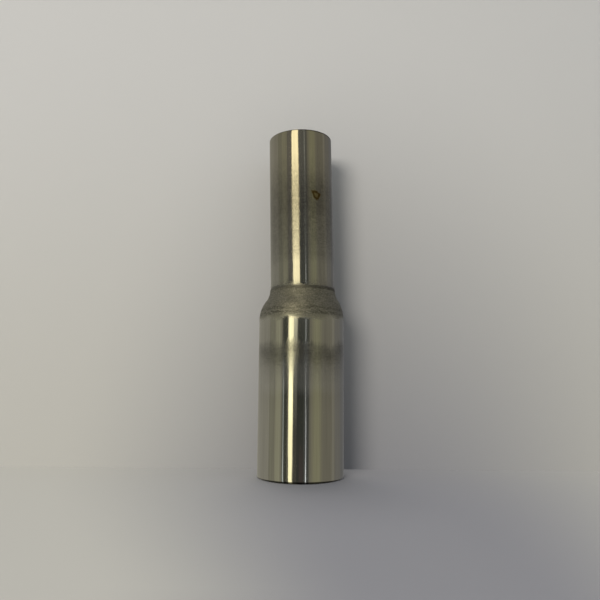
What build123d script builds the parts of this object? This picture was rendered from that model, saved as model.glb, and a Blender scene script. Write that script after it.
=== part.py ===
from build123d import *
import math
import os

# Hose reducer: one piece of round stainless tube, swaged down at one end, with a spigot for a hose at each end.
# It stands on its large end. The origin is the centre of that end, and +Z runs up the large tube's axis.

# Driving dimensions, in millimetres and degrees
large_diameter = 25.0      # outside of the large spigot
small_diameter = 19.0      # outside of the small spigot
wall = 1.5                 # same thickness at both ends
total_length = 100.8       # between the two sawn ends
shoulder_start = 45.2      # height at which the large tube begins to close in
neck_height = 54.2         # height at which the shoulder meets the small tube
neck_lip = 0.15            # step that the swaging die leaves at the neck, on the radius
outer_crown_share = 0.615  # part of the outside curve taken by the convex round; the hollow round has the rest
inner_crown_share = 0.52   # the same for the inside curve
small_end_shift = 0.25     # how far the small tube's axis is off the large tube's at the neck, towards +X
small_end_lean = 1.24      # lean of the small tube, towards -X
rim_round = 0.3            # deburred outer edge of each end
bore_chamfer = 0.3         # deburred inner edge of each end
round_steps = 5            # sections lofted along each round of the shoulder

large_radius = large_diameter / 2
small_radius = small_diameter / 2
shoulder_length = neck_height - shoulder_start
small_tube_length = (total_length - neck_height) / math.cos(math.radians(small_end_lean))


def tube_plane(height):
    """Plane square to the tube at this height: it moves from the large tube's axis to the small tube's."""
    along = (height - shoulder_start) / shoulder_length
    ease = along * along * (3 - 2 * along)
    lean = math.radians(small_end_lean * ease)
    return Plane(
        origin=(small_end_shift * ease, 0, height),
        x_dir=(math.cos(lean), 0, math.sin(lean)),
        z_dir=(-math.sin(lean), 0, math.cos(lean)),
    )


def shoulder_sections(start_radius, end_radius, crown_share):
    """Height and radius of each section of an S-curve made of two tangent rounds, convex first."""
    turn = 2 * math.atan((start_radius - end_radius) / shoulder_length)
    both_rounds = shoulder_length / math.sin(turn)
    crown = both_rounds * crown_share
    throat = both_rounds - crown
    angles = [turn * step / round_steps for step in range(round_steps + 1)]
    crown_sections = [
        (shoulder_start + crown * math.sin(angle), start_radius - crown * (1 - math.cos(angle)))
        for angle in angles
    ]
    throat_sections = [
        (neck_height - throat * math.sin(angle), end_radius + throat * (1 - math.cos(angle)))
        for angle in reversed(angles[:-1])
    ]
    return crown_sections + throat_sections


def solid_bar(large_end_radius, neck_radius, small_end_radius, crown_share):
    """Large cylinder, shoulder and small cylinder in one, as a solid bar without its bore."""
    with BuildPart() as bar:
        with BuildSketch(Plane.XY):
            Circle(large_end_radius)
        extrude(amount=shoulder_start)
        for height, radius in shoulder_sections(large_end_radius, neck_radius, crown_share):
            with BuildSketch(tube_plane(height)):
                Circle(radius)
        loft()
        with BuildSketch(tube_plane(neck_height)):
            Circle(small_end_radius)
        extrude(amount=small_tube_length)
    return bar.part


outside = solid_bar(large_radius, small_radius + neck_lip, small_radius, outer_crown_share)
passage = solid_bar(large_radius - wall, small_radius - wall, small_radius - wall, inner_crown_share)

with BuildPart() as reducer_tube:
    add(outside)
    add(passage, mode=Mode.SUBTRACT)
    # Both ends are sawn square to their own tube, then deburred: rounded outside, chamfered inside
    end_faces = reducer_tube.faces().filter_by(GeomType.PLANE).sort_by(Axis.Z)
    rims = [end_faces[0].edges().sort_by(SortBy.LENGTH), end_faces[-1].edges().sort_by(SortBy.LENGTH)]
    fillet([rim[-1] for rim in rims], radius=rim_round)
    chamfer([rim[0] for rim in rims], length=bore_chamfer)

reducer_tube.part.label = "reducer_tube"
os.makedirs("parts", exist_ok=True)
export_step(reducer_tube.part, "parts/reducer_tube.step")
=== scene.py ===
# Hose reducer: a stainless tube swaged down at one end, standing on its large end.
# Metres, +Z up the large tube, the camera looks along +Y.
import math
import random

import bpy
from mathutils import Matrix, Vector


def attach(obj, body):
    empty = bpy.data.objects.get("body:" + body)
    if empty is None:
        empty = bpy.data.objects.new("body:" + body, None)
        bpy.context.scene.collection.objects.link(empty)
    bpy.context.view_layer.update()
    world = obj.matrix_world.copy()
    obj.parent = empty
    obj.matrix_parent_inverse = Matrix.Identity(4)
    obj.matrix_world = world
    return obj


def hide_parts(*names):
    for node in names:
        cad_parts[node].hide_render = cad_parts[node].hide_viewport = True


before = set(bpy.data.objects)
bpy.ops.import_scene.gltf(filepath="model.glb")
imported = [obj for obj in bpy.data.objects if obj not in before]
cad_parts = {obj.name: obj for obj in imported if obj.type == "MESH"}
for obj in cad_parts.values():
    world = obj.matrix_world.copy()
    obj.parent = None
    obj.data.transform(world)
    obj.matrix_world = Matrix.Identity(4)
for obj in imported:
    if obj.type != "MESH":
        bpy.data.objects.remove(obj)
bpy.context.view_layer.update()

mm = 0.001

# the tube, in millimetres and degrees
tube = {
    "largeRadius": 12.5,
    "smallRadius": 9.5,
    "wall": 1.5,
    "length": 100.8,
    "shoulderStart": 45.2,     # the large tube begins to close in here
    "neckHeight": 54.2,        # the shoulder meets the small tube here
    "neckLip": 0.15,           # step that the swaging die left at the neck
    "outerCrownShare": 0.615,  # part of the outside curve that is the convex round
    "innerCrownShare": 0.52,
    "smallEndShift": 0.25,     # the small tube's axis is this far off towards +X at the neck
    "smallEndLean": 1.24,      # towards -X
    "rimRound": 0.3,           # deburred outer edge of each end
    "boreChamfer": 0.3,        # deburred inner edge of each end
    "segments": 256,
    "dieMarkDepth": 0.018,     # ring marks on the shoulder
    "waves": (9, 0.02),        # size and depth of the drawn wall's unevenness
    "orangePeel": (0.5, 0.05), # the same for the shoulder's grain
    "seed": 7,
}


# centre and lean of the tube at a height; it moves from the large tube's axis to the small tube's
def tubeLine(height):
    start = tube["shoulderStart"]
    neck = tube["neckHeight"]
    along = min(max((height - start) / (neck - start), 0), 1)
    ease = along * along * (3 - 2 * along)
    lean = math.radians(tube["smallEndLean"]) * ease
    side = tube["smallEndShift"] * ease
    if height > neck:
        side -= (height - neck) * math.tan(lean)
    return Vector((side, 0, height)) * mm, lean


# radius through the shoulder: a convex round at the large end, a hollow one at the neck
def shoulderRadius(height, startRadius, endRadius, crownShare):
    start = tube["shoulderStart"]
    length = tube["neckHeight"] - start
    turn = 2 * math.atan((startRadius - endRadius) / length)
    bothRounds = length / math.sin(turn)
    crown = bothRounds * crownShare
    throat = bothRounds - crown
    rise = height - start
    if rise < crown * math.sin(turn):
        return startRadius - crown + math.sqrt(crown ** 2 - rise ** 2)
    return endRadius + throat - math.sqrt(throat ** 2 - (length - rise) ** 2)


# heights from one to another in equal steps, the first left out
def steps(start, end, count):
    return [start + (end - start) * (n + 1) / count for n in range(count)]


# rings of the outside from the foot to the top, as (height, radius)
def outsideRings():
    large = tube["largeRadius"]
    small = tube["smallRadius"]
    start = tube["shoulderStart"]
    neck = tube["neckHeight"]
    top = tube["length"]
    rim = tube["rimRound"]
    lip = tube["neckLip"]
    random.seed(tube["seed"])
    rings = []
    for n in range(6):
        turn = math.radians(90 * n / 5)
        rings.append((rim - rim * math.cos(turn), large - rim + rim * math.sin(turn)))
    rings += [(height, large) for height in steps(rim, start - 4, 30) + steps(start - 4, start, 16)]
    mark = 0
    for height in steps(start, neck, 52):
        mark = 0.35 * mark + random.uniform(-1, 1) * tube["dieMarkDepth"]
        fade = max(0, min(1, (height - start) / 1.2, (neck - height) / 0.5))
        radius = shoulderRadius(height, large, small + lip, tube["outerCrownShare"])
        rings.append((height, radius + mark * fade))
    rings += [(neck + 0.05, small + lip * 0.8), (neck + 0.1, small + lip * 0.2), (neck + 0.16, small)]
    rings += [(height, small) for height in steps(neck + 0.16, neck + 3, 8) + steps(neck + 3, top - rim, 34)]
    for n in range(1, 6):
        turn = math.radians(90 * n / 5)
        rings.append((top - rim + rim * math.sin(turn), small - rim + rim * math.cos(turn)))
    return rings


# rings of the bore from the top back down to the foot
def boreRings():
    large = tube["largeRadius"] - tube["wall"]
    small = tube["smallRadius"] - tube["wall"]
    start = tube["shoulderStart"]
    neck = tube["neckHeight"]
    top = tube["length"]
    chamfer = tube["boreChamfer"]
    rings = [(top, small + chamfer), (top - chamfer, small)]
    rings += [(height, small) for height in steps(top - chamfer, neck, 10)]
    for height in steps(neck, start, 12):
        rings.append((height, shoulderRadius(height, large, small, tube["innerCrownShare"])))
    rings += [(height, large) for height in steps(start, chamfer, 10)]
    rings.append((0, large + chamfer))
    return rings


def deselectAll():
    bpy.ops.object.select_all(action="DESELECT")


# the selected ring of edges is drawn out to the next height and set to its lean and radius
def drawRing(fromRing, toRing):
    fromCentre, fromLean = tubeLine(fromRing[0])
    toCentre, toLean = tubeLine(toRing[0])
    bpy.ops.mesh.extrude_region_move(TRANSFORM_OT_translate={"value": toCentre - fromCentre})
    if toRing[1] != fromRing[1]:
        grow = toRing[1] / fromRing[1]
        bpy.ops.transform.resize(value=(grow, grow, grow), center_override=toCentre)
    if abs(toLean - fromLean) > 1e-9:
        bpy.ops.transform.rotate(value=toLean - fromLean, orient_axis="Y", center_override=toCentre)


def makeTube():
    deselectAll()
    rings = outsideRings() + boreRings()
    height, radius = rings[0]
    bpy.ops.mesh.primitive_circle_add(vertices=tube["segments"], radius=radius * mm, location=(0, 0, height * mm))
    piece = bpy.context.object
    piece.name = "reducer"
    bpy.ops.object.mode_set(mode="EDIT")
    bpy.ops.mesh.select_all(action="SELECT")
    for before, after in zip(rings, rings[1:]):
        drawRing(before, after)
    bpy.ops.mesh.select_all(action="DESELECT")
    bpy.ops.mesh.select_mode(type="EDGE")
    bpy.ops.mesh.select_non_manifold()
    bpy.ops.mesh.bridge_edge_loops()       # the sawn face of the foot closes the wall
    bpy.ops.mesh.select_all(action="SELECT")
    bpy.ops.mesh.remove_doubles(threshold=1e-7)
    bpy.ops.mesh.normals_make_consistent(inside=False)
    bpy.ops.object.mode_set(mode="OBJECT")
    bpy.ops.object.transform_apply(location=True, rotation=True, scale=True)
    return piece


# distance of a point from the tube's own axis, in millimetres
def radiusAt(place):
    centre, lean = tubeLine(place.z / mm)
    return (place.xy - centre.xy).length / mm


# radius half way through the wall at a height
def midWall(height):
    start = tube["shoulderStart"]
    neck = tube["neckHeight"]
    half = tube["wall"] / 2
    if height < start:
        return tube["largeRadius"] - half
    if height > neck:
        return tube["smallRadius"] - half
    return shoulderRadius(height, tube["largeRadius"], tube["smallRadius"], tube["outerCrownShare"]) - half


# a group of the outside's points between two heights, fading over a distance at both ends
def outsideGroup(piece, name, low, high, fade):
    group = piece.vertex_groups.new(name=name)
    for vert in piece.data.vertices:
        height = vert.co.z / mm
        weight = min(1, (height - low) / fade, (high - height) / fade)
        if weight > 0 and radiusAt(vert.co) > midWall(height):
            group.add([vert.index], weight, "REPLACE")
    return group.name


# real unevenness of the surface, from a cloud pattern in the piece's own space
def roughen(piece, name, sizeAndDepth, group):
    texture = bpy.data.textures.new(name, "CLOUDS")
    texture.noise_scale = sizeAndDepth[0] * mm
    texture.noise_depth = 2
    modifier = piece.modifiers.new(name, "DISPLACE")
    modifier.texture = texture
    modifier.texture_coords = "LOCAL"
    modifier.strength = sizeAndDepth[1] * mm
    modifier.mid_level = 0.5
    modifier.vertex_group = group
    bpy.context.view_layer.objects.active = piece
    bpy.ops.object.modifier_apply(modifier=name)


# marks the bore's points with 1 and the outside's with 0, for the material
def markBore(piece):
    mark = piece.data.attributes.new("bore", "FLOAT", "POINT")
    for vert in piece.data.vertices:
        height = vert.co.z / mm
        inside = radiusAt(vert.co) < midWall(height) and 0.02 < height < tube["length"] - 0.2
        mark.data[vert.index].value = 1 if inside else 0


# material building, shared by the steel, the paper and the world
def node(tree, kind, place=(0, 0), **settings):
    made = tree.nodes.new(kind)
    made.location = place
    for name, value in settings.items():
        setattr(made, name, value)
    return made


def feed(tree, socket, value):
    if value is None:
        return
    if isinstance(value, (int, float)):
        socket.default_value = value
    elif isinstance(value, tuple):
        socket.default_value = (*value, 1) if len(socket.default_value) == 4 else value
    else:
        tree.links.new(value, socket)


def sums(tree, operation, first, second=None, third=None):
    made = node(tree, "ShaderNodeMath", operation=operation)
    for socket, value in zip(made.inputs, (first, second, third)):
        feed(tree, socket, value)
    return made.outputs[0]


def mixColour(tree, share, first, second, blend="MIX"):
    mix = node(tree, "ShaderNodeMix", data_type="RGBA", blend_type=blend)
    feed(tree, mix.inputs[0], share)
    feed(tree, mix.inputs[6], first)
    feed(tree, mix.inputs[7], second)
    return mix.outputs[2]


# a value moved from one range to another, held at its ends
def ranged(tree, value, fromMin, fromMax, toMin=0.0, toMax=1.0, smooth=True):
    made = node(tree, "ShaderNodeMapRange", interpolation_type="SMOOTHSTEP" if smooth else "LINEAR")
    for socket, number in zip(made.inputs[:5], (value, fromMin, fromMax, toMin, toMax)):
        feed(tree, socket, number)
    return made.outputs["Result"]


# 0 outside a span and 1 inside, with soft ends
def span(tree, value, low, high, soft):
    rise = ranged(tree, value, low - soft, low + soft)
    fall = ranged(tree, value, high - soft, high + soft, 1.0, 0.0)
    return sums(tree, "MULTIPLY", rise, fall)


def noise(tree, vector, stretch, detail=2.0, roughness=0.5):
    mapping = node(tree, "ShaderNodeMapping")
    tree.links.new(vector, mapping.inputs["Vector"])
    mapping.inputs["Scale"].default_value = stretch
    made = node(tree, "ShaderNodeTexNoise")
    tree.links.new(mapping.outputs[0], made.inputs["Vector"])
    made.inputs["Scale"].default_value = 1
    made.inputs["Detail"].default_value = detail
    made.inputs["Roughness"].default_value = roughness
    return made.outputs["Fac"]


# the object's own coordinates, in millimetres
def inMillimetres(tree):
    coords = node(tree, "ShaderNodeTexCoord").outputs["Object"]
    scale = node(tree, "ShaderNodeVectorMath", operation="SCALE")
    tree.links.new(coords, scale.inputs[0])
    scale.inputs["Scale"].default_value = 1 / mm
    return scale.outputs[0]


# a curve over the height, from (height, value) pairs
def alongHeight(tree, height, points):
    top = tube["length"] + 1
    ramp = node(tree, "ShaderNodeValToRGB")
    tree.links.new(sums(tree, "DIVIDE", height, top), ramp.inputs[0])
    stops = ramp.color_ramp.elements
    for place, value in points:
        stops.new(min(1, place / top)).color = (value, value, value, 1)
    stops.remove(stops[0])
    stops.remove(stops[-1])
    return sums(tree, "ADD", ramp.outputs["Color"], 0)


# the steel: how bright and how rough it is from the foot to the top, as (height, value)
steel = {
    "colour": (0.56, 0.545, 0.5),
    "warmTop": (1.0, 0.97, 0.92),      # tint of the small tube's upper end
    "shade": ((0, 1), (18, 1), (24.5, 0.94), (29, 0.82), (32, 0.7), (35.4, 0.5), (37.0, 0.58), (38.6, 0.96),
              (44.8, 1), (45.8, 0.66), (48.6, 0.54), (53.0, 0.54), (54.2, 0.54), (55.2, 0.76), (57, 0.82),
              (60.6, 0.82), (63.5, 0.66), (69, 0.58), (78, 0.5), (84, 0.58), (88.5, 0.74), (94, 0.88), (101, 0.88)),
    "gloss": ((0, 0.07), (24, 0.07), (30, 0.1), (36, 0.2), (38.6, 0.09), (44.4, 0.1), (45.6, 0.5), (53.8, 0.6),
              (54.6, 0.3), (55.4, 0.08), (64, 0.09), (72, 0.11), (84, 0.11), (91, 0.09), (101, 0.08)),
    "haze": 0.025,                     # dull film on the darker bands
    "blueHaze": (25, 32.5, 0.07),      # more of it between these two heights
    "boreColour": (0.36, 0.345, 0.31),
    # painted shade: the dark line at the foot is a painted contact shadow and dark reflection on the rounded rim
    "footShadeLine": (0.1, 0.5),            # height of the dark line at the foot, and how much more it has in front
    # painted shade: a dark reflection painted on the upper rim's rounding
    "topRimShadeLine": 0.35,                   # dark line under the upper rim
    # painted shade in the crease at the neck
    "neckShadeLine": (54.05, 0.35),         # middle and half height of the dark line at the neck
    "pitLines": (46.5, 47.7),          # heights of the two rings of pits under the shoulder
    "smudgeSize": (5.5, 8),
    "stainPlace": (25.7, 81.1),        # degrees round from the camera's side, millimetres up
    "stainSides": ((73, 0.98), (332, 1.1), (214, 0.84)),
    "stainRound": 1.28,
    "stainFilm": (0.22, 0.165, 0.045),
    "stainEdge": (0.09, 0.055, 0.01),
}


# fine patterns of the drawn and swaged surface, each from 0 to 1
def steelPatterns(tree, place):
    return {
        "lines": noise(tree, place, (4.5, 4.5, 0.06), 3, 0.6),
        "broadLines": noise(tree, place, (0.9, 0.9, 0.03), 2),
        "rings": noise(tree, place, (0.25, 0.25, 5.0), 3, 0.6),
        "arcs": noise(tree, place, (0.45, 0.45, 3.2), 3, 0.65),
        "specks": noise(tree, place, (3.2, 3.2, 3.2), 2, 0.6),
        "mottle": noise(tree, place, (0.45, 0.45, 0.45), 4, 0.6),
        "pits": noise(tree, place, (1.5, 1.5, 3.4), 3, 0.65),
    }


# a dried drop: a film with a darker outline, in the shape of a rounded triangle
def stainMasks(tree, place, around, height):
    turnFrom, heightFrom = steel["stainPlace"]
    millimetresPerDegree = math.radians(tube["smallRadius"])
    across = sums(tree, "MULTIPLY", sums(tree, "SUBTRACT", around, turnFrom), millimetresPerDegree)
    upwards = sums(tree, "SUBTRACT", height, heightFrom)
    sides = None
    for turn, reach in steel["stainSides"]:
        sideways = sums(tree, "MULTIPLY", across, math.cos(math.radians(turn)) / reach)
        rising = sums(tree, "MULTIPLY", upwards, math.sin(math.radians(turn)) / reach)
        side = sums(tree, "ADD", sideways, rising)
        sides = side if sides is None else sums(tree, "MAXIMUM", sides, side)
    far = sums(tree, "ADD", sums(tree, "MULTIPLY", across, across), sums(tree, "MULTIPLY", upwards, upwards))
    circle = sums(tree, "DIVIDE", sums(tree, "SQRT", far), steel["stainRound"])
    edge = sums(tree, "ADD", sums(tree, "MULTIPLY", sides, 0.6), sums(tree, "MULTIPLY", circle, 0.4))
    edge = sums(tree, "ADD", edge, ranged(tree, noise(tree, place, (1.8, 1.8, 1.8), 2), 0.3, 0.7, -0.14, 0.14, False))
    film = ranged(tree, edge, 0.98, 1.2, 1.0, 0.0)
    outline = span(tree, edge, 0.55, 1.02, 0.16)
    return film, outline, across, upwards


# painted shade at both rims and in the crease at the neck, as dark lines, and two rings of pits, as a factor on the
# shade
def darkLines(tree, height, around, pattern):
    # painted contact shadow and dark reflection on the foot's rounded rim, taller on the front
    facing = sums(tree, "MAXIMUM", sums(tree, "COSINE", sums(tree, "RADIANS", around)), 0.0)
    footHeight = sums(tree, "ADD", sums(tree, "MULTIPLY", facing, steel["footShadeLine"][1]), steel["footShadeLine"][0])
    foot = ranged(tree, sums(tree, "SUBTRACT", height, footHeight), -0.1, 0.12, 0.1, 1.0)
    # painted shade on the upper rim's rounding
    topStart = tube["length"] - steel["topRimShadeLine"]
    top = ranged(tree, height, topStart - 0.1, topStart + 0.15, 1.0, 0.4)
    # painted shade in the crease at the neck, deeper towards the right
    wave = ranged(tree, pattern["mottle"], 0.3, 0.7, -0.25, 0.25, False)
    neck = sums(tree, "ABSOLUTE", sums(tree, "SUBTRACT", sums(tree, "ADD", height, wave), steel["neckShadeLine"][0]))
    neckShadeDepth = ranged(tree, around, -10.0, 60.0, 0.72, 0.5)
    neck = sums(tree, "MAXIMUM", ranged(tree, neck, 0.1, steel["neckShadeLine"][1] + 0.25), neckShadeDepth)
    factor = sums(tree, "MULTIPLY", sums(tree, "MULTIPLY", foot, top), neck)
    wave = ranged(tree, pattern["mottle"], 0.3, 0.7, -0.45, 0.45, False)
    dashes = ranged(tree, pattern["pits"], 0.45, 0.58, 1.0, 0.0)
    for middle in steel["pitLines"]:
        away = sums(tree, "ABSOLUTE", sums(tree, "SUBTRACT", sums(tree, "ADD", height, wave), middle))
        line = sums(tree, "MULTIPLY", ranged(tree, away, 0.15, 0.6, 1.0, 0.0), dashes)
        factor = sums(tree, "MULTIPLY", factor, ranged(tree, line, 0.0, 1.0, 1.0, 0.55, False))
    return factor


def makeSteel():
    material = bpy.data.materials.new("stainless")
    material.use_nodes = True
    tree = material.node_tree
    shader = tree.nodes["Principled BSDF"]
    place = inMillimetres(tree)
    split = node(tree, "ShaderNodeSeparateXYZ")
    tree.links.new(place, split.inputs[0])
    height = split.outputs["Z"]
    front = sums(tree, "MULTIPLY", split.outputs["Y"], -1)
    around = sums(tree, "DEGREES", sums(tree, "ARCTAN2", split.outputs["X"], front))
    pattern = steelPatterns(tree, place)

    # the bands wander and fray a little
    wander = ranged(tree, noise(tree, place, (0.2, 0.2, 0.06), 3), 0.3, 0.7, -0.9, 0.9, False)
    fray = ranged(tree, pattern["lines"], 0.3, 0.7, -0.7, 0.7, False)
    free = sums(tree, "SUBTRACT", 1.0, span(tree, height, tube["neckHeight"] - 1.5, tube["neckHeight"] + 1, 1.0))
    frayed = sums(tree, "SUBTRACT", 1.0, span(tree, height, 43.5, tube["neckHeight"] + 1, 1.0))
    wander = sums(tree, "ADD", sums(tree, "MULTIPLY", wander, free), sums(tree, "MULTIPLY", fray, frayed))
    zone = sums(tree, "ADD", height, wander)
    shade = alongHeight(tree, zone, steel["shade"])
    gloss = alongHeight(tree, zone, steel["gloss"])
    dimBands = ranged(tree, shade, 0.48, 0.95, 1.0, 0.0)     # 1 in the darker bands
    grainy = span(tree, height, tube["shoulderStart"] + 0.4, tube["neckHeight"], 0.4)

    tone = ranged(tree, pattern["lines"], 0.25, 0.75, 0.92, 1.08, False)
    tone = sums(tree, "MULTIPLY", tone, ranged(tree, pattern["broadLines"], 0.3, 0.7, 0.95, 1.05, False))
    dirt = ranged(tree, pattern["specks"], 0.35, 0.65, -0.22, 0.22, False)
    dirt = sums(tree, "ADD", dirt, ranged(tree, pattern["mottle"], 0.3, 0.7, -0.1, 0.1, False))
    dirt = sums(tree, "ADD", dirt, ranged(tree, pattern["rings"], 0.3, 0.7, -0.1, 0.1, False))
    tone = sums(tree, "ADD", tone, sums(tree, "MULTIPLY", dirt, dimBands))
    grain = ranged(tree, pattern["arcs"], 0.35, 0.65, -0.1, 0.1, False)
    grain = sums(tree, "ADD", grain, ranged(tree, pattern["specks"], 0.35, 0.65, -0.14, 0.14, False))
    tone = sums(tree, "ADD", tone, sums(tree, "MULTIPLY", grain, grainy))
    shade = sums(tree, "MULTIPLY", shade, tone)
    # painted shade at both rims and in the neck's crease, and the rings of pits
    shade = sums(tree, "MULTIPLY", shade, darkLines(tree, height, around, pattern))

    film, outline, across, upwards = stainMasks(tree, place, around, height)
    smudgeX = sums(tree, "POWER", sums(tree, "DIVIDE", across, steel["smudgeSize"][0]), 2)
    smudgeY = sums(tree, "POWER", sums(tree, "DIVIDE", upwards, steel["smudgeSize"][1]), 2)
    smudge = ranged(tree, sums(tree, "ADD", smudgeX, smudgeY), 0.0, 1.0, 0.82, 1.0)
    shade = sums(tree, "MULTIPLY", shade, smudge)
    grey = node(tree, "ShaderNodeCombineColor")
    for socket in grey.inputs:
        tree.links.new(shade, socket)
    colour = mixColour(tree, 1.0, steel["colour"], grey.outputs[0], "MULTIPLY")
    warmth = ranged(tree, height, 60.0, 90.0)
    colour = mixColour(tree, warmth, colour, mixColour(tree, 1.0, colour, steel["warmTop"], "MULTIPLY"))
    colour = mixColour(tree, sums(tree, "MULTIPLY", film, 0.65), colour, steel["stainFilm"])
    colour = mixColour(tree, sums(tree, "MULTIPLY", outline, 0.9), colour, steel["stainEdge"])

    # the bore was never polished
    bore = node(tree, "ShaderNodeAttribute", attribute_name="bore").outputs["Fac"]
    boreTone = node(tree, "ShaderNodeVectorMath", operation="SCALE")
    boreTone.inputs[0].default_value = steel["boreColour"]
    tree.links.new(ranged(tree, pattern["lines"], 0.3, 0.7, 0.75, 1.1, False), boreTone.inputs["Scale"])
    colour = mixColour(tree, bore, colour, boreTone.outputs[0])
    gloss = sums(tree, "ADD", gloss, sums(tree, "MULTIPLY", bore, 0.3))
    gloss = sums(tree, "ADD", gloss, ranged(tree, pattern["specks"], 0.3, 0.7, -0.02, 0.02, False))
    gloss = sums(tree, "ADD", gloss, sums(tree, "MULTIPLY", film, 0.12))

    # relief: lines along the tube everywhere, rings and specks on the darker bands, grain on the shoulder
    relief = sums(tree, "MULTIPLY", pattern["lines"], 0.35)
    wornRelief = sums(tree, "ADD", pattern["rings"], sums(tree, "MULTIPLY", pattern["specks"], 4.0))
    relief = sums(tree, "ADD", relief, sums(tree, "MULTIPLY", wornRelief, dimBands))
    grainRelief = sums(tree, "ADD", pattern["pits"], sums(tree, "MULTIPLY", pattern["arcs"], 0.7))
    relief = sums(tree, "ADD", relief, sums(tree, "MULTIPLY", grainRelief, sums(tree, "MULTIPLY", grainy, 16.0)))
    bump = node(tree, "ShaderNodeBump")
    bump.inputs["Distance"].default_value = 0.004 * mm
    bump.inputs["Strength"].default_value = 1
    tree.links.new(relief, bump.inputs["Height"])

    low, high, more = steel["blueHaze"]
    hazy = sums(tree, "MULTIPLY", dimBands, steel["haze"])
    hazy = sums(tree, "ADD", hazy, sums(tree, "MULTIPLY", span(tree, zone, low, high, 2.0), more))
    hazy = sums(tree, "MULTIPLY", hazy, sums(tree, "SUBTRACT", 1.0, bore))
    tree.links.new(colour, shader.inputs["Base Color"])
    tree.links.new(sums(tree, "SUBTRACT", 1.0, hazy), shader.inputs["Metallic"])
    tree.links.new(gloss, shader.inputs["Roughness"])
    tree.links.new(bump.outputs[0], shader.inputs["Normal"])
    return material


# floor and backdrop: two sheets of one paper, which meet behind the tube. Their tones match there, so that
# they look like one sheet; the backdrop is see-through from behind. The paper carries painted light: paler far up the
# backdrop, and a painted shadow in a wide oval round the tube's foot and its right
stage = {
    "paperPale": (0.477, 0.463, 0.418),
    # painted light: the paper is paler far up the backdrop
    "paperLitTop": (0.523, 0.513, 0.488),     # far up the backdrop
    # painted shadow: a darker tone in a wide oval round the tube's foot and its right
    "paperShadowTone": (0.254, 0.252, 0.265),    # in a wide oval round the tube's foot and its right
    "shadowPlace": (21, -103),               # its middle: sideways, and up the backdrop or down along the floor
    "shadowReach": (111, 253),
    "shadowCore": 0.21,                      # share of the reach that has the full tone
    "shadowNarrowing": 0.46,                 # its width at the front of the floor
    "wallBehind": 13,
    "size": 2400,
    "background": (0.46, 0.455, 0.44),
}


def makePaper(name, seeThrough):
    material = bpy.data.materials.new(name)
    material.use_nodes = True
    tree = material.node_tree
    shader = tree.nodes["Principled BSDF"]
    place = inMillimetres(tree)
    split = node(tree, "ShaderNodeSeparateXYZ")
    tree.links.new(place, split.inputs[0])
    sheetUp = sums(tree, "ADD", split.outputs["Z"], sums(tree, "SUBTRACT", split.outputs["Y"], stage["wallBehind"]))
    sideways = sums(tree, "SUBTRACT", split.outputs["X"], stage["shadowPlace"][0])
    width = ranged(tree, sheetUp, -100.0, 0.0, stage["shadowNarrowing"], 1.0, False)
    sideways = sums(tree, "DIVIDE", sums(tree, "DIVIDE", sideways, stage["shadowReach"][0]), width)
    upwards = sums(tree, "SUBTRACT", sheetUp, stage["shadowPlace"][1])
    upwards = sums(tree, "DIVIDE", upwards, stage["shadowReach"][1])
    far = sums(tree, "ADD", sums(tree, "MULTIPLY", sideways, sideways), sums(tree, "MULTIPLY", upwards, upwards))
    paintedShadow = ranged(tree, sums(tree, "SQRT", far), stage["shadowCore"], 1.0, 1.0, 0.0)
    # painted light: paler up the backdrop
    colour = mixColour(tree, ranged(tree, sheetUp, 0.0, 150.0), stage["paperPale"], stage["paperLitTop"])
    # painted shadow round the tube's foot and its right
    colour = mixColour(tree, paintedShadow, colour, stage["paperShadowTone"])
    tree.links.new(colour, shader.inputs["Base Color"])
    shader.inputs["Roughness"].default_value = 0.9
    shader.inputs["Specular IOR Level"].default_value = 0
    if seeThrough:
        behind = node(tree, "ShaderNodeNewGeometry").outputs["Backfacing"]
        clear = node(tree, "ShaderNodeBsdfTransparent")
        mix = node(tree, "ShaderNodeMixShader")
        tree.links.new(behind, mix.inputs[0])
        tree.links.new(shader.outputs[0], mix.inputs[1])
        tree.links.new(clear.outputs[0], mix.inputs[2])
        tree.links.new(mix.outputs[0], tree.nodes["Material Output"].inputs["Surface"])
    return material


def makeSheet(name, place, turn, seeThrough):
    deselectAll()
    bpy.ops.mesh.primitive_plane_add(size=stage["size"] * mm, location=place, rotation=turn)
    bpy.ops.object.transform_apply(location=True, rotation=True, scale=True)
    sheet = bpy.context.object
    sheet.name = name
    sheet.data.materials.append(makePaper(name + "Paper", seeThrough))
    sheet.visible_glossy = False
    return sheet


def makeStage():
    makeSheet("floor", (0, 0, 0), (0, 0, 0), False)
    wallPlace = (0, stage["wallBehind"] * mm, stage["size"] / 2 * mm)
    wall = makeSheet("backdrop", wallPlace, (math.radians(90), 0, 0), True)
    wall.visible_shadow = False


# two soft lamps: one from the left in front, one high from behind for the floor
lamps = {
    "sideLamp": {"place": (-340, -800, 278), "size": 400, "power": 5.0, "colour": (1.0, 0.96, 0.905)},
    "topLamp": {"place": (-40, 163, 700), "size": 250, "power": 1.72, "colour": (1.0, 0.975, 0.94)},
}
lampAim = (0, 0, 45)


def makeLamp(name):
    lamp = lamps[name]
    deselectAll()
    bpy.ops.object.light_add(type="AREA", location=Vector(lamp["place"]) * mm)
    made = bpy.context.object
    made.name = name
    made.data.shape = "DISK"
    made.data.size = lamp["size"] * mm
    made.data.energy = lamp["power"]
    made.data.color = lamp["colour"]
    aim = Vector(lampAim) * mm - made.location
    made.rotation_euler = aim.to_track_quat("-Z", "Y").to_euler()
    made.visible_camera = False
    made.visible_glossy = False


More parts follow.
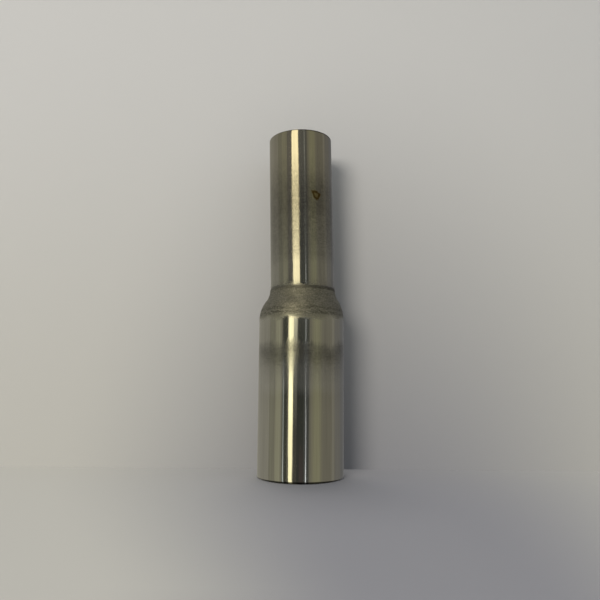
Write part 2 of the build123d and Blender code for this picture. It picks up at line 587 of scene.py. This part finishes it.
# the room that the steel reflects. Each card has its span in degrees round from the camera, positive to its
# right, the softness of its ends, its span above the horizon or None, and its colour
room = {
    "fill": (0.50, 0.54, 0.60),   # soft light from all round
    "tone": (0.21, 0.20, 0.16),
    "cards": {
        "paleLeft": ((-182, -92, 2), None, (0.31, 0.30, 0.255)),
        "leftEdge": ((-101, -93, 2), None, (0.31, 0.30, 0.25)),
        "leftDim": ((-91, -76, 2), None, (0.25, 0.245, 0.19)),
        "leftWarm": ((-72, -54, 5), None, (0.36, 0.355, 0.26)),
        "leftWarmTop": ((-72, -54, 5), (8, 70, 2), (0.29, 0.28, 0.205)),
        "darkLeft": ((-50, -36, 1.5), None, (0.07, 0.072, 0.057)),
        "darkLeftTop": ((-50, -36, 1.5), (8, 70, 2), (0.19, 0.18, 0.155)),
        "thinLine": ((-48.3, -45.5, 0.5), (-80, 1, 3), (0.4, 0.44, 0.41)),
        "thinLineFoot": ((-48.2, -45.4, 0.5), (-80, -8, 1.5), (0.66, 0.72, 0.7)),
        "darkByCamera": ((-19, 21, 3), None, (0.05, 0.053, 0.045)),
        "darkByCameraAbove": ((-19, 21, 3), (4, 70, 3), (0.09, 0.092, 0.08)),
        "darkByCameraTop": ((-19, 21, 3), (16, 70, 4), (0.15, 0.15, 0.135)),
        "brownByCamera": ((-4, 10, 2), (-80, -7.3, 1), (0.072, 0.062, 0.057)),
        "greyByCamera": ((7, 20.5, 2), (-80, 3, 2), (0.078, 0.081, 0.076)),
        "creamWindowHaze": ((-21, -11, 1.5), (-80, 9, 3), (0.085, 0.083, 0.07)),
        "creamWindowHazeMiddle": ((-19.8, -10.5, 1.5), (-4, 9, 2), (0.17, 0.17, 0.14)),
        "creamWindowLow": ((-32.4, -21.2, 0.7), (-80, 0, 3), (1.85, 1.75, 1.13)),
        "creamWindowMiddle": ((-32.1, -21.0, 0.7), (-3.5, 2, 2), (2.5, 2.35, 1.5)),
        "creamWindow": ((-34.1, -19.6, 0.8), (1.5, 7.6, 2), (1.85, 1.75, 1.13)),
        "creamWindowCorner": ((-19.8, -10.3, 1.5), (3, 9, 3), (0.76, 0.74, 0.56)),
        "creamWindowTop": ((-33.1, -9.2, 0.8), (7.3, 70, 1), (1.95, 1.75, 1.12)),
        "windowFootLeft": ((-34, -31.7, 0.4), (-80, -7.5, 1.5), (0.1, 0.1, 0.08)),
        "windowFootRight": ((-22.2, -19.5, 0.5), (-80, -9, 0.8), (0.11, 0.105, 0.085)),
        "blueGapFoot": ((12.5, 14.0, 0.4), (-80, -4, 1.5), (0.9, 0.94, 0.98)),
        "blueGapRim": ((12.5, 14.0, 0.4), (-80, -8.6, 1), (1.45, 1.52, 1.6)),
        "blueGap": ((11.4, 12.9, 0.4), (-4, 7, 1.5), (0.6, 0.63, 0.62)),
        "blueGapAbove": ((11.5, 13.0, 0.4), (7, 12, 1), (0.8, 0.83, 0.8)),
        "blueGapTop": ((12.6, 14.2, 0.4), (12, 70, 1.5), (0.48, 0.5, 0.46)),
        "rightWarm": ((30, 54, 8), None, (0.29, 0.283, 0.19)),
        "rightEdge": ((90, 100, 2), None, (0.26, 0.25, 0.21)),
        "rightPale": ((101, 178, 3), None, (0.20, 0.195, 0.18)),
        "rightCool": ((128, 178, 8), None, (0.165, 0.165, 0.165)),
    },
}


def makeWorld():
    world = bpy.data.worlds.new("studio")
    bpy.context.scene.world = world
    world.use_nodes = True
    world.cycles.sampling_method = "NONE"
    tree = world.node_tree
    tree.nodes.clear()
    direction = node(tree, "ShaderNodeTexCoord").outputs["Generated"]
    split = node(tree, "ShaderNodeSeparateXYZ")
    tree.links.new(direction, split.inputs[0])
    ahead = sums(tree, "MULTIPLY", split.outputs["Y"], -1)
    around = sums(tree, "DEGREES", sums(tree, "ARCTAN2", split.outputs["X"], ahead))
    above = sums(tree, "DEGREES", sums(tree, "ARCSINE", split.outputs["Z"]))
    colour = room["tone"]
    for spread, reach, tone in room["cards"].values():
        mask = span(tree, around, *spread)
        if reach:
            mask = sums(tree, "MULTIPLY", mask, span(tree, above, *reach))
        colour = mixColour(tree, mask, colour, tone)
    path = node(tree, "ShaderNodeLightPath")
    colour = mixColour(tree, path.outputs["Is Glossy Ray"], room["fill"], colour)
    colour = mixColour(tree, path.outputs["Is Camera Ray"], colour, stage["background"])
    light = node(tree, "ShaderNodeBackground")
    tree.links.new(colour, light.inputs["Color"])
    output = node(tree, "ShaderNodeOutputWorld")
    tree.links.new(light.outputs[0], output.inputs["Surface"])


# the camera, placed in millimetres and turned in degrees
view = {
    "place": (-0.03, -171.2, 29.57),
    "pitch": 7.23,                     # upwards
    "yaw": -0.15,
    "roll": 0.44,
    "lens": 34.56,                     # on a 36 mm sensor, square frame
}


def makeCamera():
    deselectAll()
    bpy.ops.object.camera_add(location=Vector(view["place"]) * mm)
    camera = bpy.context.object
    turn = Matrix.Rotation(-math.radians(view["yaw"]), 3, "Z")
    tip = Matrix.Rotation(math.radians(90 + view["pitch"]), 3, "X")
    roll = Matrix.Rotation(math.radians(view["roll"]), 3, "Z")
    camera.rotation_euler = (turn @ tip @ roll).to_euler()
    camera.data.sensor_width = 36
    camera.data.lens = view["lens"]
    camera.data.clip_start = 0.01
    bpy.context.scene.camera = camera


def makeReducer():
    piece = makeTube()
    top = tube["length"]
    roughen(piece, "waves", tube["waves"], outsideGroup(piece, "outside", 0.4, top - 0.4, 2))
    shoulder = outsideGroup(piece, "shoulder", tube["shoulderStart"] + 0.2, tube["neckHeight"] - 0.1, 0.6)
    roughen(piece, "orangePeel", tube["orangePeel"], shoulder)
    markBore(piece)
    deselectAll()
    piece.select_set(True)
    bpy.ops.object.shade_smooth_by_angle(angle=math.radians(40))
    piece.data.materials.append(makeSteel())
    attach(piece, "root")
    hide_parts("reducer_tube")
    print("tube ready:", len(piece.data.polygons), "faces")


bpy.context.scene.view_settings.view_transform = "Standard"
makeCamera()
makeReducer()
makeStage()
for lampName in lamps:
    makeLamp(lampName)
makeWorld()
print("stage and light ready")
